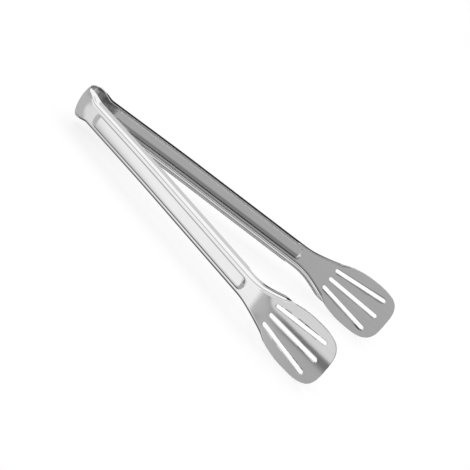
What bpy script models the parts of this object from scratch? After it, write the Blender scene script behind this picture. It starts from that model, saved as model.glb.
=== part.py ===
"""Kitchen tongs pressed from one strip of stainless sheet.

The strip makes a bow that springs, two channel-section arms and two slotted paddles. The
tongs lie on one long edge: +X runs from the bow to the paddles, the arms close along Y,
and +Z is across the strip. Lengths are in metres and angles in degrees. The strip is cut
across the bow at the two places where it flexes, because the arms move about them.
"""

import math
from collections import namedtuple

import bmesh
import bpy
from mathutils import Vector

# Sheet
SHEET = 0.001
BEND_RADIUS = 0.0030
BEND_LIP_SHARE = 0.8

# Bow, seen from above
BOW_RADIUS = 0.0115
BOW_WIDTH = 0.0266
BOW_CAMBER = 0.0016
BOW_LIP_WIDTH = 0.0016
BOW_LIP_DEPTH = 0.0008
FLEX_ANGLE = 39.0
FLEX_DEPTH = 0.0015
FLEX_GAP = 0.0005
LEG_RADIUS = 0.045
LEG_TURN = 8.0
ARM_LEAN = 12.0

# Panel pressed outwards in the arm's web, measured from where the bow's tight curve ends
PANEL_START = 0.0195
PANEL_LENGTH = 0.187
PANEL_WIDTH = 0.0088
PANEL_HEIGHT = 0.0008
PANEL_SIDE_WALL = 0.0015
PANEL_END_WALL = 0.0026
PANEL_TO_BEND = 0.0150

# Where the bow's camber, crease, free edge and lip depth change into the arm's, measured
# from where the bow's tight curve ends
CAMBER_START = -0.0065
CAMBER_RUN = 0.010
WAIST_START = 0.0025
WAIST_RUN = 0.0100
EDGE_START = -0.0005
EDGE_RUN = 0.013
LIP_START = -0.0065
LIP_RUN = 0.019

# Arm's web and flanges
WEB_WIDTH = 0.0184
FLANGE_DEPTH = 0.0074
FLANGE_SPLAY = 0.0005
FLANGE_STEP = 0.0015
FLANGE_STEP_RUN = 0.002
FLANGE_STEP_TO_PANEL_END = 0.0065

# Paddle, measured along the strip from the middle of the neck's bend
PADDLE_TURN = 6.7
NECK_RADIUS = 0.060
PADDLE_RUN = 0.0738
PADDLE_WIDTH = 0.0476
PADDLE_WIDEST = 0.0475
SHOULDER_SHARES = (0.375, 0.594)
TIP_POWER = 3.3
NECK_FLANGE_DEPTH = 0.0052
FLANGE_FADE = 0.0145
FLANGE_END = 0.0260
PADDLE_LIP = 0.0006
TIP_LIP_SHARE = 0.25

# Slots through the paddle
SLOT_WIDTH = 0.0036
SLOT_START = 0.0176
SLOT_MIDDLE_LENGTH = 0.0454
SLOT_SIDE_LENGTH = 0.0434
SLOT_PITCH = 0.0091
SLOT_FAN = 7.9
CUTTER_OVERRUN = 0.002

# Points along each curve
FLEX_STEPS = 6
LEG_STEPS = 18
NECK_STEPS = 18
TIP_STEPS = 14
SLOT_END_STEPS = 10
BEVEL_SHARES = (0.25, 0.5, 0.75)
SHARP_ANGLE = 30.0

STEEL_COLOUR = (0.63, 0.64, 0.65, 1.0)
STEEL_ROUGHNESS = 0.22

Station = namedtuple("Station", "distance crease camber edge depth lift")


def smooth(low, high, share):
    """Blend from low to high with no slope at either end."""
    share = min(max(share, 0.0), 1.0)
    return low + (high - low) * share * share * (3.0 - 2.0 * share)


def strip_runs():
    """The strip's centre line from the crown to a paddle's tip, as lengths and radii."""
    lean = math.radians(ARM_LEAN)
    ease = math.radians(LEG_TURN)
    turn = math.radians(PADDLE_TURN)
    middle_radius = BOW_RADIUS - SHEET / 2
    arm_run = PANEL_START + PANEL_LENGTH + PANEL_TO_BEND
    half_bend = NECK_RADIUS * turn / 2
    return (
        (middle_radius * (math.pi / 2 - lean - ease), middle_radius),
        (LEG_RADIUS * ease, LEG_RADIUS),
        (arm_run - half_bend - LEG_RADIUS * ease, None),
        (2 * half_bend, NECK_RADIUS),
        (PADDLE_RUN - half_bend, None),
    )


ARM_START = strip_runs()[0][0]
PANEL_END = ARM_START + PANEL_START + PANEL_LENGTH
BEND_MIDDLE = PANEL_END + PANEL_TO_BEND
STRIP_END = BEND_MIDDLE + PADDLE_RUN


def along_strip(distance):
    """Place and heading at a distance along the rear half, from the bow's centre."""
    place = Vector((SHEET / 2 - BOW_RADIUS, 0.0))
    heading = math.pi / 2
    for length, radius in strip_runs():
        step = min(length, distance)
        if radius is None:
            place += step * Vector((math.cos(heading), math.sin(heading)))
        else:
            turned = heading - step / radius
            centre = place + radius * Vector((math.sin(heading), -math.cos(heading)))
            place = centre + radius * Vector((-math.sin(turned), math.cos(turned)))
            heading = turned
        distance -= step
    return place, heading


def sheet_point(distance, outward, across, side):
    """A point beside the strip: side is 1 for the rear half and -1 for the front half."""
    place, heading = along_strip(abs(distance))
    normal = Vector((-math.sin(heading), math.cos(heading)))
    place = place + outward * normal
    if distance < 0:
        side = -side
    return Vector((place.x, side * place.y, across))


def flex_distance():
    return math.radians(FLEX_ANGLE) * (BOW_RADIUS - SHEET / 2)


def bow_station(distance):
    """The bow's section, which narrows and deepens into the arm's past the tight curve."""
    past = distance - ARM_START
    return Station(
        distance,
        smooth(BOW_WIDTH / 2 - BOW_LIP_WIDTH, WEB_WIDTH / 2, (past - WAIST_START) / WAIST_RUN),
        smooth(BOW_CAMBER, 0.0, (past - CAMBER_START) / CAMBER_RUN),
        smooth(BOW_WIDTH / 2, WEB_WIDTH / 2 + FLANGE_SPLAY, (past - EDGE_START) / EDGE_RUN),
        smooth(BOW_LIP_DEPTH, FLANGE_DEPTH, (past - LIP_START) / LIP_RUN),
        0.0,
    )


def crown_stations():
    """The bow between its two flexing places."""
    reach = flex_distance() - FLEX_GAP / 2
    count = 2 * FLEX_STEPS
    return [bow_station(reach * (2 * i / count - 1)) for i in range(count + 1)]


def leg_stations():
    """From the flexing place along the bow's leg to the arm's full flanges."""
    start = flex_distance() + FLEX_GAP / 2
    ends = (
        CAMBER_START + CAMBER_RUN,
        WAIST_START + WAIST_RUN,
        EDGE_START + EDGE_RUN,
        LIP_START + LIP_RUN,
    )
    run = ARM_START + max(ends) - start
    return [bow_station(start + run * i / LEG_STEPS) for i in range(LEG_STEPS + 1)]


def grip_stations():
    """The straight arm, with the ends of its raised panel and the step in its flanges."""
    panel_start = ARM_START + PANEL_START
    step_start = PANEL_END - FLANGE_STEP_TO_PANEL_END
    low_depth = FLANGE_DEPTH - FLANGE_STEP
    marks = (
        (panel_start, FLANGE_DEPTH, 0.0),
        (panel_start + PANEL_END_WALL, FLANGE_DEPTH, PANEL_HEIGHT),
        (step_start, FLANGE_DEPTH, PANEL_HEIGHT),
        (step_start + FLANGE_STEP_RUN, low_depth, PANEL_HEIGHT),
        (PANEL_END - PANEL_END_WALL, low_depth, PANEL_HEIGHT),
    )
    half = WEB_WIDTH / 2
    return [Station(at, half, 0.0, half + FLANGE_SPLAY, depth, lift) for at, depth, lift in marks]


def shoulder(share):
    """A point of the neck's outline, as distance past the bend and half width."""
    reach = PADDLE_WIDEST + PANEL_TO_BEND
    first, second = SHOULDER_SHARES
    narrow = WEB_WIDTH / 2
    wide = PADDLE_WIDTH / 2 - PADDLE_LIP
    weights = (
        (1 - share) ** 3,
        3 * share * (1 - share) ** 2,
        3 * share**2 * (1 - share),
        share**3,
    )
    runs = (0.0, reach * first, reach * second, reach)
    widths = (narrow, narrow, wide, wide)
    at = sum(weight * run for weight, run in zip(weights, runs))
    half = sum(weight * width for weight, width in zip(weights, widths))
    return at - PANEL_TO_BEND, half


def neck_stations():
    """The neck, from the panel's end: its flanges shrink until they lie in the paddle."""
    stations = []
    for i in range(NECK_STEPS + 1):
        at, half = shoulder(i / NECK_STEPS)
        shrink = (at + PANEL_TO_BEND) / (FLANGE_FADE + PANEL_TO_BEND)
        fade = (at - FLANGE_FADE) / (FLANGE_END - FLANGE_FADE)
        neck_depth = smooth(FLANGE_DEPTH - FLANGE_STEP, NECK_FLANGE_DEPTH, shrink)
        edge = half + smooth(FLANGE_SPLAY, PADDLE_LIP, fade)
        stations.append(Station(BEND_MIDDLE + at, half, 0.0, edge, smooth(neck_depth, 0.0, fade), 0.0))
    return stations


def tip_stations():
    """The paddle's blunt end, a quarter of a squarish oval on each side."""
    reach = PADDLE_RUN - PADDLE_WIDEST
    stations = []
    for i in range(1, TIP_STEPS):
        angle = math.pi / 2 * i / TIP_STEPS
        at = PADDLE_WIDEST + reach * math.sin(angle) ** (2 / TIP_POWER)
        half = PADDLE_WIDTH / 2 * math.cos(angle) ** (2 / TIP_POWER)
        lip = min(PADDLE_LIP, half * TIP_LIP_SHARE)
        stations.append(Station(BEND_MIDDLE + at, half - lip, 0.0, half, 0.0, 0.0))
    return stations


def bend_tangent():
    """How far a flange's bend reaches from its crease."""
    return BEND_RADIUS * math.tan(math.atan2(FLANGE_DEPTH, FLANGE_SPLAY) / 2)


def web_marks():
    """Where points lie across half of the grip's web, and whether the panel raises them."""
    half_panel = PANEL_WIDTH / 2
    return (
        (0.0, True),
        (half_panel / 2, True),
        (half_panel, True),
        (half_panel + PANEL_SIDE_WALL, False),
        (WEB_WIDTH / 2 - bend_tangent(), False),
    )


def half_section(station):
    """Points from the middle of the strip to its edge, as (across, outward)."""
    corner = Vector((station.crease, -station.camber))
    free_edge = Vector((station.edge, -station.camber - station.depth))
    lip = free_edge - corner
    tangent = min(bend_tangent(), BEND_LIP_SHARE * lip.length)
    marks = web_marks()
    stretch = (station.crease - tangent) / marks[-1][0]
    points = []
    for mark, raised in marks:
        across = mark * stretch
        outward = station.lift if raised else 0.0
        points.append(Vector((across, outward - station.camber * (across / station.crease) ** 2)))
    first = points[-1]
    last = corner + tangent * lip.normalized()
    for share in BEVEL_SHARES:
        points.append((1 - share) ** 2 * first + 2 * share * (1 - share) * corner + share**2 * last)
    points.append(last)
    points.append(free_edge)
    return points


def full_section(station):
    half = half_section(station)
    mirrored = [Vector((-across, outward)) for across, outward in half[:0:-1]]
    return mirrored + half


def steel(name):
    """Bright stainless sheet with a fine polish."""
    material = bpy.data.materials.new(name)
    material.use_nodes = True
    shader = material.node_tree.nodes["Principled BSDF"]
    shader.inputs["Base Color"].default_value = STEEL_COLOUR
    shader.inputs["Metallic"].default_value = 1.0
    shader.inputs["Roughness"].default_value = STEEL_ROUGHNESS
    return material


def world_offset():
    """Moves the bow's centre so that the origin is under the middle of the tongs."""
    tip, _ = along_strip(STRIP_END)
    return Vector(((BOW_RADIUS - tip.x) / 2, 0.0, PADDLE_WIDTH / 2))


def flex_point(side):
    """The axis about which an arm flexes, where it crosses the strip's middle."""
    return sheet_point(flex_distance(), -FLEX_DEPTH, 0.0, side)


def add_sheet(name, stations, side, origin):
    """Skin a run of sections, thicken it to the sheet and place it at its origin."""
    mesh = bpy.data.meshes.new(name)
    grid = bmesh.new()
    rows = []
    for station in stations:
        row = []
        for across, outward in full_section(station):
            point = sheet_point(station.distance, outward, across, side)
            row.append(grid.verts.new(point - origin))
        rows.append(row)
    for near, far in zip(rows, rows[1:]):
        for j in range(len(near) - 1):
            corners = (near[j], near[j + 1], far[j + 1], far[j])
            grid.faces.new(corners if side > 0 else corners[::-1])
    bmesh.ops.recalc_face_normals(grid, faces=grid.faces)
    grid.to_mesh(mesh)
    grid.free()
    sheet = bpy.data.objects.new(name, mesh)
    bpy.context.scene.collection.objects.link(sheet)
    sheet.location = world_offset() + origin
    thicken = sheet.modifiers.new("sheet thickness", "SOLIDIFY")
    thicken.thickness = SHEET
    thicken.offset = 0.0
    thicken.use_even_offset = True
    sheet.data.materials.append(steel(name + " steel"))
    return sheet


def slot_outline(length, across, fan):
    """A round-ended slot's outline, as (distance past the bend, across)."""
    forward = Vector((math.cos(fan), math.sin(fan)))
    sideways = Vector((-forward.y, forward.x))
    outline = []
    for end, centre_run in ((-1, 0.0), (1, length)):
        centre = Vector((SLOT_START, across)) + centre_run * forward
        for i in range(SLOT_END_STEPS + 1):
            angle = math.pi * i / SLOT_END_STEPS
            across_part = end * math.cos(angle) * sideways
            along_part = end * math.sin(angle) * forward
            outline.append(centre + SLOT_WIDTH / 2 * (across_part + along_part))
    return outline


def add_slot_cutter(name, side, origin):
    """Three slots that fan out towards the paddle's tip, as one cutter."""
    fan = math.radians(SLOT_FAN)
    slots = (
        (SLOT_SIDE_LENGTH, -SLOT_PITCH, -fan),
        (SLOT_MIDDLE_LENGTH, 0.0, 0.0),
        (SLOT_SIDE_LENGTH, SLOT_PITCH, fan),
    )
    reach = SHEET / 2 + CUTTER_OVERRUN
    mesh = bpy.data.meshes.new(name)
    solid = bmesh.new()
    for length, across, turn in slots:
        outline = slot_outline(length, across, turn)
        loops = []
        for outward in (-reach, reach):
            points = [sheet_point(BEND_MIDDLE + at, outward, z, side) for at, z in outline]
            loops.append([solid.verts.new(point - origin) for point in points])
        inner, outer = loops
        solid.faces.new(inner)
        solid.faces.new(outer[::-1])
        for j in range(len(inner)):
            k = (j + 1) % len(inner)
            solid.faces.new((inner[k], inner[j], outer[j], outer[k]))
    bmesh.ops.recalc_face_normals(solid, faces=solid.faces)
    solid.to_mesh(mesh)
    solid.free()
    cutter = bpy.data.objects.new(name, mesh)
    bpy.context.scene.collection.objects.link(cutter)
    cutter.location = world_offset() + origin
    cutter.hide_render = True
    cutter.display_type = "WIRE"
    return cutter


def shade(sheet):
    sheet.data.shade_smooth()
    sheet.data.set_sharp_from_angle(angle=math.radians(SHARP_ANGLE))


def add_bow():
    bow = add_sheet("spring_bow", crown_stations(), 1, Vector((0.0, 0.0, 0.0)))
    shade(bow)
    return bow


def add_arm(name, side):
    """One arm with its bow leg, grip, neck and slotted paddle."""
    stations = leg_stations() + grip_stations() + neck_stations() + tip_stations()
    origin = flex_point(side)
    arm = add_sheet(name, stations, side, origin)
    cutter = add_slot_cutter(name + "_slot_cutter", side, origin)
    cut = arm.modifiers.new("slots", "BOOLEAN")
    cut.operation = "DIFFERENCE"
    cut.object = cutter
    shade(arm)
    return arm


def clear_scene():
    for old in list(bpy.data.objects):
        bpy.data.objects.remove(old, do_unlink=True)


def main():
    clear_scene()
    add_bow()
    add_arm("rear_arm", 1)
    add_arm("front_arm", -1)


main()
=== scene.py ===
"""Looks of the kitchen tongs: one strip of bright stainless sheet, pressed and folded.

The visible strip is skinned in two halves that meet at the bow's crown. Lengths are in
metres and angles in degrees, in the frame of the tongs' solids: +X from the bow to the
paddles, the arms close along Y, +Z up.
"""

import math
from collections import namedtuple

import bmesh
import bpy
import numpy as np
from mathutils import Matrix, Vector


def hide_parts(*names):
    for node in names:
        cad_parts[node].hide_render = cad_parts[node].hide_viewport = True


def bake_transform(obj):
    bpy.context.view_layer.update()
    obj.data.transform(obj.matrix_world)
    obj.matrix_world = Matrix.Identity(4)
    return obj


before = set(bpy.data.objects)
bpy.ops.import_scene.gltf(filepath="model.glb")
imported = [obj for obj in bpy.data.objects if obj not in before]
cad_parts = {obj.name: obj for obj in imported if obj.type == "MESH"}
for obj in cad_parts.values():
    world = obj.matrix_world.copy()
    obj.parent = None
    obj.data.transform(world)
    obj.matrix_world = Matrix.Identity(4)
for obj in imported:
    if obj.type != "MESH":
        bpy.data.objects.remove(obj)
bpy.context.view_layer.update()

# Camera, fitted to the photograph: its heading is from +X and its elevation from the level
IMAGE_PIXELS = 470
FOCAL_PIXELS = 1250.24
SENSOR_WIDTH_MM = 36.0
CAMERA_PLACE = Vector((0.22825, -0.85385, 0.43841))
CAMERA_HEADING = 103.627
CAMERA_ELEVATION = -25.296
CAMERA_ROLL = 36.698

# Sheet and its bends
SHEET = 0.001
BEND_RADIUS = 0.0030
BEND_MOST_SHARE = 0.8
EDGE_ROUND = 0.0003

# Bow, seen from above
BOW_RADIUS = 0.0115
BOW_WIDTH = 0.0266
BOW_CAMBER = 0.0016
BOW_LIP_WIDTH = 0.0016
BOW_LIP_DEPTH = 0.0008
BOW_DROP = 0.0013
LEG_RADIUS = 0.045
LEG_TURN = 8.0
ARM_LEAN = 12.0

# Changes of section, measured along the strip from where the bow's tight curve ends
DROP_START, DROP_RUN = -0.010, 0.110
CAMBER_START, CAMBER_RUN = -0.0040, 0.014
WAIST_START, WAIST_RUN = 0.0025, 0.0100
EDGE_START, EDGE_RUN = -0.0005, 0.013
LIP_START, LIP_RUN = -0.0065, 0.019

# Web, flanges and the panel pressed outwards in the web
WEB_WIDTH = 0.0184
FLANGE_DEPTH = 0.0071
FLANGE_SPLAY = 0.0005
FLANGE_STEP = 0.0015
FLANGE_STEP_RUN = 0.0022
FLANGE_STEP_TO_PANEL_END = 0.0065
PANEL_START = 0.0195
PANEL_LENGTH = 0.187
PANEL_WIDTH = 0.0088
PANEL_HEIGHT = 0.0009
PANEL_CROWN = 0.0003
PANEL_WALL = 0.0015
PANEL_START_WALL = 0.0040
PANEL_END_WALL = 0.0026
PANEL_START_BULGE = 0.0012
PANEL_END_BULGE = 0.0022
PANEL_TO_BEND = 0.0150

# Neck and paddle, measured from the middle of the neck's bend
PADDLE_TURN = 6.7
NECK_RADIUS = 0.060
PADDLE_RUN = 0.0738
PADDLE_WIDTH = 0.0476
PADDLE_WIDEST = 0.0475
SHOULDER_SHARES = (0.375, 0.594)
TIP_POWER = 3.3
NECK_FLANGE_DEPTH = 0.0052
FLANGE_FADE = 0.0145
FLANGE_END = 0.0260
PADDLE_LIP = 0.0006
TIP_LIP_SHARE = 0.25
DISH_RADIUS = 0.560
DISH_START = 0.004
DISH_RUN = 0.014

# Slots, measured from the middle of the neck's bend
SLOT_WIDTH = 0.0036
SLOT_START = 0.0176
SLOT_MIDDLE_LENGTH = 0.0454
SLOT_SIDE_LENGTH = 0.0434
SLOT_PITCH = 0.0091
SLOT_FAN = 7.9
SLOT_RIM = 0.00018
SLOT_RIM_TURN = 75.0

# Fineness of the skin
BOW_STEP = 0.0005
ARM_STEP = 0.0010
PADDLE_STEP = 0.0009
TIP_STEPS = 34
WEB_COLUMNS = 20
WALL_COLUMNS = 8
MARGIN_COLUMNS = 2
BEND_COLUMNS = 8
FLANGE_COLUMNS = 4
EDGE_COLUMNS = 6
RIM_LEVELS = 4
SLOT_END_STEPS = 24
FLAT_FACE_WEIGHT = 100

# Painted shade and duller polish inside the bow, by distance from its crown and by height from its
# middle
DULL_SHADE_START, DULL_SHADE_END, DULL_SHADE_RUN = 0.0055, 0.0290, 0.006
DULL_SHADE_RIM, DULL_SHADE_RIM_RUN = 0.0085, 0.003
# Painted shade: the share of the steel's colour left where the bow's inside is darkest
PAINTED_SHADE_TONE = 0.72
DULL_ROUGHNESS = 0.12

# Steel's finish: each pattern's repeats per metre along the strip and across it, and its
# number of finer layers
Pattern = namedtuple("Pattern", "along across detail")
STRIP_MAP = "strip"
# This map carries the painted shade and the dullness inside the bow
DULL_SHADE_MAP = "dull"
STEEL_COLOUR = (0.82, 0.82, 0.82)
GRAIN = Pattern(90.0, 5200.0, 6.0)
GRAIN_RANGE = (0.3, 0.7)
GRAIN_ROUGHNESS = (0.02, 0.055)
GRAIN_HEIGHT = 0.0000012
STREAKS = Pattern(12.0, 900.0, 3.0)
STREAK_RANGE = (0.3, 0.7)
STREAK_TONES = (0.96, 1.0)
WAVES = Pattern(18.0, 60.0, 1.0)
WAVE_HEIGHT = 0.000008
SMUDGES = Pattern(55.0, 70.0, 4.0)
SMUDGE_TONE_RANGE = (0.35, 0.75)
SMUDGE_TONES = (1.0, 0.97)
SMUDGE_SHEEN_RANGE = (0.5, 0.8)
SMUDGE_ROUGHNESS = (0.0, 0.015)

# Studio: panels of light by heading from +X, with a spread to either side, and by elevation
# from low to high. Later panels cover earlier ones.
Panel = namedtuple("Panel", "heading spread low high soft level")
STUDIO_LEVEL = 0.47
STUDIO_PANELS = (
    Panel(0.0, 200.0, -95.0, -52.0, 8.0, 0.12),
    Panel(-175.0, 35.0, -40.0, -10.0, 6.0, 0.56),
    Panel(-126.5, 12.0, -40.0, 13.0, 7.0, 1.06),
    Panel(-103.0, 7.0, -28.2, -20.0, 0.9, 0.20),
    Panel(-109.0, 12.0, -25.9, 0.0, 0.3, 0.80),
    Panel(-80.0, 22.0, -18.0, 10.0, 3.0, 0.24),
    Panel(-80.0, 22.0, 3.0, 38.0, 3.0, 0.05),
    Panel(-80.0, 35.0, 41.0, 60.0, 3.0, 0.80),
    Panel(-150.0, 34.0, 30.0, 60.0, 4.0, 1.16),
    Panel(0.0, 200.0, 58.0, 95.0, 6.0, 1.16),
    Panel(90.0, 110.0, 14.0, 95.0, 6.0, 1.16),
    Panel(0.0, 200.0, 78.0, 96.0, 4.0, 0.60),
    Panel(104.0, 16.0, 14.0, 42.0, 4.0, 0.75),
    Panel(104.0, 14.0, 5.0, 24.0, 2.5, 0.03),
    Panel(50.0, 30.0, 20.0, 50.0, 4.0, 0.55),
    Panel(50.0, 30.0, 10.0, 22.0, 3.0, 0.14),
    Panel(50.0, 30.0, -31.0, -19.5, 2.0, 0.14),
    Panel(150.0, 28.0, 6.0, 42.0, 4.0, 0.05),
)
LAMP_PLACE = Vector((0.0, 0.0, 2.5))
LAMP_SIZE = 4.0
LAMP_WATTS = 38.0
FLOOR_REACH = 20.0
FLOOR_COLOUR = (0.93, 0.93, 0.93, 1.0)
FLOOR_ROUGHNESS = 0.9
FLOOR_WHITE_SHARE = 0.75

# A section of the strip: crease and edge are half widths, camber and depth go inwards
Station = namedtuple("Station", "distance crease camber edge depth")


def smooth(low, high, share):
    """Blend from low to high with no slope at either end."""
    share = min(max(share, 0.0), 1.0)
    return low + (high - low) * share * share * (3.0 - 2.0 * share)


def strip_runs():
    """The strip's centre line from the crown to a paddle's tip, as lengths and radii."""
    lean = math.radians(ARM_LEAN)
    ease = math.radians(LEG_TURN)
    turn = math.radians(PADDLE_TURN)
    middle_radius = BOW_RADIUS - SHEET / 2
    half_bend = NECK_RADIUS * turn / 2
    return (
        (middle_radius * (math.pi / 2 - lean - ease), middle_radius),
        (LEG_RADIUS * ease, LEG_RADIUS),
        (PANEL_START + PANEL_LENGTH + PANEL_TO_BEND - half_bend - LEG_RADIUS * ease, None),
        (2 * half_bend, NECK_RADIUS),
        (PADDLE_RUN - half_bend, None),
    )


ARM_START = strip_runs()[0][0]
PANEL_END = ARM_START + PANEL_START + PANEL_LENGTH
BEND_MIDDLE = PANEL_END + PANEL_TO_BEND
STRIP_END = BEND_MIDDLE + PADDLE_RUN


def along_strip(distance):
    """Place and heading at a distance along the rear half, from the bow's crown."""
    place = Vector((SHEET / 2 - BOW_RADIUS, 0.0))
    heading = math.pi / 2
    for length, radius in strip_runs():
        step = min(length, distance)
        if radius is None:
            place += step * Vector((math.cos(heading), math.sin(heading)))
        else:
            turned = heading - step / radius
            centre = place + radius * Vector((math.sin(heading), -math.cos(heading)))
            place = centre + radius * Vector((-math.sin(turned), math.cos(turned)))
            heading = turned
        distance -= step
    return place, heading


def world_offset():
    """From the bow's centre to the frame's origin, under the middle of the tongs."""
    tip, _ = along_strip(STRIP_END)
    return Vector(((BOW_RADIUS - tip.x) / 2, 0.0, PADDLE_WIDTH / 2))


OFFSET = world_offset()


def strip_point(distance, outward, across, side):
    """A point beside the strip: side is 1 for the rear half and -1 for the front half."""
    place, heading = along_strip(distance)
    place = place + outward * Vector((-math.sin(heading), math.cos(heading)))
    return OFFSET + Vector((place.x, side * place.y, across))


def bow_station(distance):
    """The bow's section, which narrows and deepens into the arm's past the curve."""
    past = distance - ARM_START
    return Station(
        distance,
        smooth(BOW_WIDTH / 2 - BOW_LIP_WIDTH, WEB_WIDTH / 2, (past - WAIST_START) / WAIST_RUN),
        smooth(BOW_CAMBER, 0.0, (past - CAMBER_START) / CAMBER_RUN),
        smooth(BOW_WIDTH / 2, WEB_WIDTH / 2 + FLANGE_SPLAY, (past - EDGE_START) / EDGE_RUN),
        smooth(BOW_LIP_DEPTH, FLANGE_DEPTH, (past - LIP_START) / LIP_RUN),
    )


def arm_station(distance):
    """The channel, whose flanges step down shortly before the panel's end."""
    past_step = distance - (PANEL_END - FLANGE_STEP_TO_PANEL_END)
    depth = FLANGE_DEPTH - smooth(0.0, FLANGE_STEP, past_step / FLANGE_STEP_RUN)
    half = WEB_WIDTH / 2
    return Station(distance, half, 0.0, half + FLANGE_SPLAY, depth)


def shoulder(share):
    """A point of the neck's outline, as distance past the bend and half width."""
    reach = PADDLE_WIDEST + PANEL_TO_BEND
    first, second = SHOULDER_SHARES
    narrow = WEB_WIDTH / 2
    wide = PADDLE_WIDTH / 2 - PADDLE_LIP
    weights = (
        (1 - share) ** 3,
        3 * share * (1 - share) ** 2,
        3 * share**2 * (1 - share),
        share**3,
    )
    runs = (0.0, reach * first, reach * second, reach)
    widths = (narrow, narrow, wide, wide)
    at = sum(weight * run for weight, run in zip(weights, runs))
    half = sum(weight * width for weight, width in zip(weights, widths))
    return at - PANEL_TO_BEND, half


def neck_station(share):
    """The neck: its flanges shrink until they lie in the paddle."""
    at, half = shoulder(share)
    shrink = (at + PANEL_TO_BEND) / (FLANGE_FADE + PANEL_TO_BEND)
    fade = (at - FLANGE_FADE) / (FLANGE_END - FLANGE_FADE)
    neck_depth = smooth(FLANGE_DEPTH - FLANGE_STEP, NECK_FLANGE_DEPTH, shrink)
    edge = half + smooth(FLANGE_SPLAY, PADDLE_LIP, fade)
    return Station(BEND_MIDDLE + at, half, 0.0, edge, smooth(neck_depth, 0.0, fade))


def tip_station(share):
    """The paddle's blunt end, a quarter of a squarish oval on each side."""
    angle = math.pi / 2 * share
    at = PADDLE_WIDEST + (PADDLE_RUN - PADDLE_WIDEST) * math.sin(angle) ** (2 / TIP_POWER)
    half = PADDLE_WIDTH / 2 * math.cos(angle) ** (2 / TIP_POWER)
    lip = min(PADDLE_LIP, half * TIP_LIP_SHARE)
    return Station(BEND_MIDDLE + at, half - lip, 0.0, half, 0.0)


def evenly(start, end, step):
    """Places from start to end, both included, about a step apart."""
    count = max(1, round((end - start) / step))
    return [start + (end - start) * i / count for i in range(count + 1)]


def strip_stations():
    """Every section of half the strip, from the crown to the paddle's tip."""
    leg_end = ARM_START + max(CAMBER_START + CAMBER_RUN, WAIST_START + WAIST_RUN,
                              EDGE_START + EDGE_RUN, LIP_START + LIP_RUN)
    stations = [bow_station(d) for d in evenly(0.0, leg_end, BOW_STEP)]
    stations += [arm_station(d) for d in evenly(leg_end, PANEL_END, ARM_STEP)[1:]]
    neck_steps = round(PADDLE_WIDEST / PADDLE_STEP)
    stations += [neck_station(i / neck_steps) for i in range(1, neck_steps + 1)]
    stations += [tip_station(i / TIP_STEPS) for i in range(1, TIP_STEPS)]
    return stations


def panel_lift(distance, across):
    """Height of the pressed panel, whose ends bulge towards the bow and the paddle."""
    half = PANEL_WIDTH / 2
    aside = abs(across)
    side_rise = smooth(0.0, 1.0, (half + PANEL_WALL - aside) / PANEL_WALL)
    bulge = 1.0 - min(aside / (half + PANEL_WALL), 1.0) ** 2
    past_start = distance - (ARM_START + PANEL_START) + PANEL_START_BULGE * bulge
    before_end = PANEL_END - distance + PANEL_END_BULGE * bulge
    from_start = past_start / PANEL_START_WALL
    from_end = before_end / PANEL_END_WALL
    end_rise = smooth(0.0, 1.0, min(from_start, from_end))
    crown = PANEL_CROWN * min(aside / half, 1.0) ** 2
    return (PANEL_HEIGHT - crown) * side_rise * end_rise


def bend_tangent():
    """How far a flange's bend reaches from its crease."""
    return BEND_RADIUS * math.tan(math.atan2(FLANGE_DEPTH, FLANGE_SPLAY) / 2)


def column_shares():
    """Places across half of the arm's web, closest together on the panel's wall."""
    web_end = WEB_WIDTH / 2 - bend_tangent()
    foot = PANEL_WIDTH / 2 + PANEL_WALL
    flat = evenly(0.0, PANEL_WIDTH / 2, PANEL_WIDTH / WEB_COLUMNS)
    wall = evenly(PANEL_WIDTH / 2, foot, PANEL_WALL / WALL_COLUMNS)[1:]
    margin = evenly(foot, web_end, (web_end - foot) / MARGIN_COLUMNS)[1:]
    return [mark / web_end for mark in flat + wall + margin]


COLUMN_SHARES = column_shares()


def half_section(station):
    """Points from the middle of the strip to its edge, as (across, outward)."""
    corner = Vector((station.crease, -station.camber))
    free_edge = Vector((station.edge, -station.camber - station.depth))
    lip = free_edge - corner
    tangent = min(bend_tangent(), BEND_MOST_SHARE * lip.length)
    dish = smooth(0.0, 1.0, (station.distance - BEND_MIDDLE - DISH_START) / DISH_RUN)
    points = []
    for share in COLUMN_SHARES:
        across = share * (station.crease - tangent)
        sag = station.camber * (across / station.crease) ** 2
        points.append(Vector((across, panel_lift(station.distance, across) - sag)))
    first = points[-1]
    last = corner + tangent * lip.normalized()
    for i in range(1, BEND_COLUMNS + 1):
        share = i / BEND_COLUMNS
        points.append((1 - share) ** 2 * first + 2 * share * (1 - share) * corner + share**2 * last)
    for i in range(1, FLANGE_COLUMNS + 1):
        points.append(last.lerp(free_edge, i / FLANGE_COLUMNS))
    return [p - Vector((0.0, dish * p.x**2 / (2 * DISH_RADIUS))) for p in points]


def middle_surface(stations, side):
    """The sheet's middle as a grid of points, one row for each section."""
    rows = []
    for station in stations:
        half = half_section(station)
        section = [Vector((-p.x, p.y)) for p in half[:0:-1]] + half
        drop = smooth(BOW_DROP, 0.0, (station.distance - ARM_START - DROP_START) / DROP_RUN)
        rows.append([strip_point(station.distance, p.y, p.x - drop, side) for p in section])
    return np.array(rows)


def unit(vectors):
    """The same directions, each of length 1."""
    return vectors / np.linalg.norm(vectors, axis=-1, keepdims=True)


def surface_frame(grid, side):
    """The outward normal at each point of the middle surface, and the run along it.

    At the crown the run points straight across, so that the two halves meet flush.
    """
    along = np.gradient(grid, axis=0)
    across = np.gradient(grid, axis=1)
    along[0] = (0.0, side * np.linalg.norm(along[0, 0]), 0.0)
    normal = unit(np.cross(across, along)) * side
    return normal, unit(along)


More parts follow.
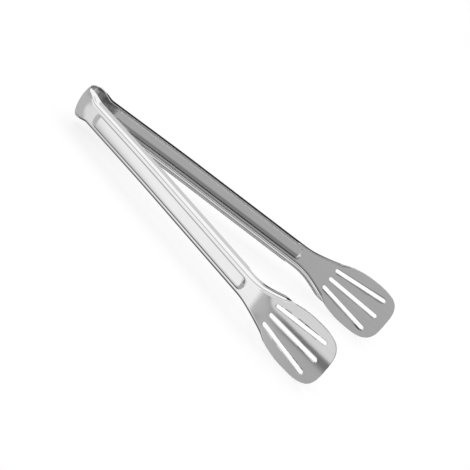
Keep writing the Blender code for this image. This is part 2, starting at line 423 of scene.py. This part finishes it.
def rounded_edge(point, normal, run, middle):
    """A free edge of the sheet, from its outer face round to its inner face."""
    aside = unit(np.cross(normal, run))
    if np.dot(aside, point - middle) < 0:
        aside = -aside
    edge = []
    for i in range(EDGE_COLUMNS + 1):
        angle = math.pi * (0.5 - i / EDGE_COLUMNS)
        rise = SHEET / 2 - EDGE_ROUND + EDGE_ROUND * abs(math.sin(angle))
        rise = math.copysign(rise, math.sin(angle)) if i * 2 != EDGE_COLUMNS else 0.0
        reach = EDGE_ROUND * (math.cos(angle) - 1.0)
        edge.append(point + rise * normal + reach * aside)
    return edge


def rounded_rings(stations, side):
    """Closed sections of the sheet, with the places of their inner face's points.

    Each runs over the outer face, round one edge, back over the inner face and round the
    other edge.
    """
    grid = middle_surface(stations, side)
    normal, along = surface_frame(grid, side)
    half = SHEET / 2
    rings = []
    for points, normals, runs in zip(grid, normal, along):
        middle = points[len(points) // 2]
        far_edge = rounded_edge(points[-1], normals[-1], runs[-1], middle)
        near_edge = rounded_edge(points[0], normals[0], runs[0], middle)
        outer = list(points[1:-1] + half * normals[1:-1])
        inner = list(points[1:-1] - half * normals[1:-1])
        rings.append(outer + far_edge + inner[::-1] + near_edge[::-1])
    first_inner = len(outer) + len(far_edge)
    return rings, range(first_inner, first_inner + len(inner))


def close_over(solid, loops):
    """Faces between neighbouring loops of a solid, and over its first and last loop."""
    count = len(loops[0])
    for near, far in zip(loops, loops[1:]):
        for j in range(count):
            k = (j + 1) % count
            solid.faces.new((near[j], near[k], far[k], far[j]))
    solid.faces.new(loops[0][::-1])
    solid.faces.new(loops[-1])


def add_mesh(name, solid):
    """A new object in the scene that takes the solid over."""
    mesh = bpy.data.meshes.new(name)
    solid.to_mesh(mesh)
    solid.free()
    piece = bpy.data.objects.new(name, mesh)
    bpy.context.scene.collection.objects.link(piece)
    return piece


def shade_and_dull_share(distance, height):
    """How much painted shade and dullness the bow's inside gets: its legs and its rims get more
    than its crown.
    """
    leg = smooth(0.0, 1.0, (distance - DULL_SHADE_START) / DULL_SHADE_RUN)
    rim = smooth(0.0, 1.0, (abs(height) - DULL_SHADE_RIM) / DULL_SHADE_RIM_RUN)
    return max(leg, rim) * smooth(1.0, 0.0, (distance - DULL_SHADE_END) / DULL_SHADE_RUN)


def skin(name, rings, inner_places, distances):
    """One closed mesh over the rings, mapped by place, with painted shade and dullness inside the
    bow.
    """
    solid = bmesh.new()
    place = {}
    shade_and_dullness = {}
    loops = []
    for ring, distance in zip(rings, distances):
        loop = [solid.verts.new(point) for point in ring]
        loops.append(loop)
        for j, vertex in enumerate(loop):
            height = vertex.co.z - OFFSET.z
            place[vertex] = (distance, vertex.co.z)
            # Painted shade and dullness, only on the inner face's points
            shade_and_dullness[vertex] = (shade_and_dull_share(distance, height) if j in inner_places else 0.0, 0.0)
    close_over(solid, loops)
    bmesh.ops.recalc_face_normals(solid, faces=solid.faces)
    strip_map = solid.loops.layers.uv.new(STRIP_MAP)
    shade_and_dull_map = solid.loops.layers.uv.new(DULL_SHADE_MAP)
    for face in solid.faces:
        for corner in face.loops:
            corner[strip_map].uv = place[corner.vert]
            corner[shade_and_dull_map].uv = shade_and_dullness[corner.vert]
    return add_mesh(name, solid)


def slot_outline(length, across, fan, growth):
    """A round-ended slot's outline, widened by its growth, as (distance past the bend, across)."""
    forward = Vector((math.cos(fan), math.sin(fan)))
    sideways = Vector((-forward.y, forward.x))
    outline = []
    for end, centre_run in ((-1, 0.0), (1, length)):
        centre = Vector((SLOT_START, across)) + centre_run * forward
        for i in range(SLOT_END_STEPS + 1):
            angle = math.pi * i / SLOT_END_STEPS
            across_part = end * math.cos(angle) * sideways
            along_part = end * math.sin(angle) * forward
            outline.append(centre + (SLOT_WIDTH / 2 + growth) * (across_part + along_part))
    return outline


def rim_levels():
    """Heights through the sheet with how far the slot has widened there."""
    flat = SHEET / 2 - SLOT_RIM
    full_turn = math.radians(SLOT_RIM_TURN)
    upper = []
    for i in range(RIM_LEVELS + 1):
        angle = full_turn * i / RIM_LEVELS
        upper.append((flat + SLOT_RIM * math.sin(angle), SLOT_RIM * (1 - math.cos(angle))))
    height, growth = upper[-1]
    upper.append((height + SHEET, growth + SHEET * math.tan(full_turn)))
    return [(-height, growth) for height, growth in upper[::-1]] + upper


def add_slot_cutter(name, side):
    """Three slots that fan out towards the tip, each rounded where it meets the faces."""
    fan = math.radians(SLOT_FAN)
    slots = (
        (SLOT_SIDE_LENGTH, -SLOT_PITCH, -fan),
        (SLOT_MIDDLE_LENGTH, 0.0, 0.0),
        (SLOT_SIDE_LENGTH, SLOT_PITCH, fan),
    )
    solid = bmesh.new()
    for length, across, turn in slots:
        loops = []
        for outward, growth in rim_levels():
            outline = slot_outline(length, across, turn, growth)
            loops.append([
                solid.verts.new(strip_point(BEND_MIDDLE + at, outward, z, side))
                for at, z in outline
            ])
        close_over(solid, loops)
    bmesh.ops.recalc_face_normals(solid, faces=solid.faces)
    return add_mesh(name, solid)


def cut_slots(strip, side):
    """Cut the slots and keep the flat faces' shading flat round their softened rims."""
    cutter = add_slot_cutter(strip.name + "_cutter", side)
    cut = strip.modifiers.new("slots", "BOOLEAN")
    cut.operation = "DIFFERENCE"
    cut.object = cutter
    strip.data.shade_smooth()
    weigh = strip.modifiers.new("flat faces lead", "WEIGHTED_NORMAL")
    weigh.weight = FLAT_FACE_WEIGHT
    bpy.context.view_layer.update()
    finished = bpy.data.meshes.new_from_object(
        strip.evaluated_get(bpy.context.evaluated_depsgraph_get())
    )
    strip.modifiers.clear()
    strip.data = finished
    bpy.data.objects.remove(cutter, do_unlink=True)


def feed(tree, socket, value):
    """Link a socket to the value if it is another socket, or else set it."""
    if isinstance(value, bpy.types.NodeSocket):
        tree.links.new(value, socket)
    else:
        socket.default_value = value


def maths(tree, operation, *values):
    """The outcome of one operation on numbers or sockets."""
    node = tree.nodes.new("ShaderNodeMath")
    node.operation = operation
    for socket, value in zip(node.inputs, values):
        feed(tree, socket, value)
    return node.outputs[0]


def rescale(tree, value, low, high, to_low=0.0, to_high=1.0):
    """The value's place between low and high, eased and brought to a new range."""
    node = tree.nodes.new("ShaderNodeMapRange")
    node.interpolation_type = "SMOOTHSTEP"
    for socket, given in zip(node.inputs, (value, low, high, to_low, to_high)):
        feed(tree, socket, given)
    return node.outputs[0]


def noise(tree, where, pattern):
    """Noise on the strip's own coordinates, stretched by the pattern's two scales."""
    mapping = tree.nodes.new("ShaderNodeMapping")
    feed(tree, mapping.inputs["Vector"], where)
    mapping.inputs["Scale"].default_value = (pattern.along, pattern.across, 1.0)
    texture = tree.nodes.new("ShaderNodeTexNoise")
    texture.inputs["Scale"].default_value = 1.0
    texture.inputs["Detail"].default_value = pattern.detail
    feed(tree, texture.inputs["Vector"], mapping.outputs[0])
    return texture.outputs["Fac"]


def bump(tree, height, distance, under=None):
    """A normal raised by a height from 0 to 1 times a distance, over another normal."""
    node = tree.nodes.new("ShaderNodeBump")
    node.inputs["Distance"].default_value = distance
    node.inputs["Strength"].default_value = 1.0
    feed(tree, node.inputs["Height"], height)
    if under is not None:
        feed(tree, node.inputs["Normal"], under)
    return node.outputs[0]


def steel():
    """Bright stainless sheet: base colour, polish lines along the strip, light wear, and painted
    shade with duller polish inside the bow.
    """
    material = bpy.data.materials.new("bright stainless")
    material.use_nodes = True
    tree = material.node_tree
    shader = tree.nodes["Principled BSDF"]
    shader.inputs["Metallic"].default_value = 1.0
    place = tree.nodes.new("ShaderNodeUVMap")
    place.uv_map = STRIP_MAP
    where = place.outputs["UV"]
    inside = tree.nodes.new("ShaderNodeUVMap")
    inside.uv_map = DULL_SHADE_MAP
    split = tree.nodes.new("ShaderNodeSeparateXYZ")
    feed(tree, split.inputs[0], inside.outputs["UV"])
    dull = split.outputs["X"]
    grain = noise(tree, where, GRAIN)
    streaks = noise(tree, where, STREAKS)
    waves = noise(tree, where, WAVES)
    smudges = noise(tree, where, SMUDGES)
    streak_tone = rescale(tree, streaks, *STREAK_RANGE, *STREAK_TONES)
    smudge_tone = rescale(tree, smudges, *SMUDGE_TONE_RANGE, *SMUDGE_TONES)
    tone = maths(tree, "MULTIPLY", streak_tone, smudge_tone)
    # Painted shade: the bow's inside is darkened in colour
    tone = maths(tree, "MULTIPLY", tone, rescale(tree, dull, 0.0, 1.0, 1.0, PAINTED_SHADE_TONE))
    colour = tree.nodes.new("ShaderNodeCombineColor")
    for socket, level in zip(colour.inputs, STEEL_COLOUR):
        feed(tree, socket, maths(tree, "MULTIPLY", tone, level))
    feed(tree, shader.inputs["Base Color"], colour.outputs[0])
    polish = rescale(tree, grain, *GRAIN_RANGE, *GRAIN_ROUGHNESS)
    smudged = rescale(tree, smudges, *SMUDGE_SHEEN_RANGE, *SMUDGE_ROUGHNESS)
    worn = maths(tree, "ADD", polish, smudged)
    roughness = maths(tree, "ADD", worn, maths(tree, "MULTIPLY", dull, DULL_ROUGHNESS))
    feed(tree, shader.inputs["Roughness"], roughness)
    wavy = bump(tree, waves, WAVE_HEIGHT)
    feed(tree, shader.inputs["Normal"], bump(tree, grain, GRAIN_HEIGHT, wavy))
    return material


def add_half(name, side, arm, finish):
    """Half of the strip, from the bow's crown along one arm to its paddle's tip."""
    stations = strip_stations()
    rings, inner_places = rounded_rings(stations, side)
    strip = skin(name, rings, inner_places, [station.distance for station in stations])
    cut_slots(strip, side)
    strip.data.materials.append(finish)
    crown = strip_point(0.0, 0.0, 0.0, side)
    leg = strip_point(ARM_START, 0.0, 0.0, side)
    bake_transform(strip)
    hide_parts(arm, "spring_bow")


def add_camera():
    """The photograph's viewpoint and angle of view."""
    camera = bpy.data.cameras.new("camera")
    camera.sensor_width = SENSOR_WIDTH_MM
    camera.lens = FOCAL_PIXELS / IMAGE_PIXELS * SENSOR_WIDTH_MM
    viewer = bpy.data.objects.new("camera", camera)
    heading = Matrix.Rotation(math.radians(CAMERA_HEADING - 90.0), 4, "Z")
    elevation = Matrix.Rotation(math.radians(CAMERA_ELEVATION + 90.0), 4, "X")
    roll = Matrix.Rotation(math.radians(CAMERA_ROLL), 4, "Z")
    viewer.matrix_world = Matrix.Translation(CAMERA_PLACE) @ heading @ elevation @ roll
    bpy.context.scene.collection.objects.link(viewer)
    bpy.context.scene.camera = viewer


def add_floor():
    """A wide pale floor, whose own white thins the tongs' shadow for the camera."""
    mesh = bpy.data.meshes.new("floor")
    signs = ((-1, -1), (1, -1), (1, 1), (-1, 1))
    corners = [(x * FLOOR_REACH, y * FLOOR_REACH, 0.0) for x, y in signs]
    mesh.from_pydata(corners, [], [(0, 1, 2, 3)])
    floor = bpy.data.objects.new("floor", mesh)
    bpy.context.scene.collection.objects.link(floor)
    material = bpy.data.materials.new("white floor")
    material.use_nodes = True
    tree = material.node_tree
    shader = tree.nodes["Principled BSDF"]
    shader.inputs["Base Color"].default_value = FLOOR_COLOUR
    shader.inputs["Roughness"].default_value = FLOOR_ROUGHNESS
    shader.inputs["Specular IOR Level"].default_value = 0.0
    glow = tree.nodes.new("ShaderNodeEmission")
    blend = tree.nodes.new("ShaderNodeMixShader")
    seen = tree.nodes.new("ShaderNodeLightPath").outputs["Is Camera Ray"]
    feed(tree, blend.inputs["Fac"], maths(tree, "MULTIPLY", seen, FLOOR_WHITE_SHARE))
    feed(tree, blend.inputs[1], shader.outputs[0])
    feed(tree, blend.inputs[2], glow.outputs[0])
    feed(tree, tree.nodes["Material Output"].inputs["Surface"], blend.outputs[0])
    mesh.materials.append(material)
    floor.visible_glossy = False


def add_world():
    """A studio's light by direction: panels that fade into each other at their borders."""
    world = bpy.data.worlds.new("studio")
    bpy.context.scene.world = world
    world.use_nodes = True
    tree = world.node_tree
    direction = tree.nodes.new("ShaderNodeTexCoord").outputs["Generated"]
    parts = tree.nodes.new("ShaderNodeSeparateXYZ")
    feed(tree, parts.inputs[0], direction)
    x, y, z = parts.outputs
    elevation = maths(tree, "DEGREES", maths(tree, "ARCSINE", z))
    heading = maths(tree, "DEGREES", maths(tree, "ARCTAN2", y, x))
    level = STUDIO_LEVEL
    for panel in STUDIO_PANELS:
        soft = panel.soft
        turned = maths(tree, "SUBTRACT", heading, panel.heading)
        aside = maths(tree, "ABSOLUTE", maths(tree, "WRAP", turned, 180.0, -180.0))
        above = rescale(tree, elevation, panel.low - soft, panel.low + soft)
        below = rescale(tree, elevation, panel.high - soft, panel.high + soft, 1.0, 0.0)
        beside = rescale(tree, aside, panel.spread - soft, panel.spread + soft, 1.0, 0.0)
        inside = maths(tree, "MULTIPLY", maths(tree, "MULTIPLY", above, below), beside)
        step = maths(tree, "MULTIPLY", inside, maths(tree, "SUBTRACT", panel.level, level))
        level = maths(tree, "ADD", level, step)
    background = tree.nodes["Background"]
    background.inputs["Strength"].default_value = 1.0
    feed(tree, background.inputs["Color"], level)


def add_lamp():
    """A large soft lamp above the tongs, which the steel doesn't mirror."""
    light = bpy.data.lights.new("soft lamp", "AREA")
    light.size = LAMP_SIZE
    light.energy = LAMP_WATTS
    lamp = bpy.data.objects.new("soft lamp", light)
    lamp.location = LAMP_PLACE
    lamp.rotation_euler = LAMP_PLACE.to_track_quat("Z", "Y").to_euler()
    lamp.visible_glossy = False
    bpy.context.scene.collection.objects.link(lamp)


bpy.context.scene.view_settings.view_transform = "Standard"
add_camera()
add_floor()
add_world()
add_lamp()
bright_steel = steel()
add_half("front_strip", -1, "front_arm", bright_steel)
add_half("rear_strip", 1, "rear_arm", bright_steel)

bpy.context.view_layer.update()
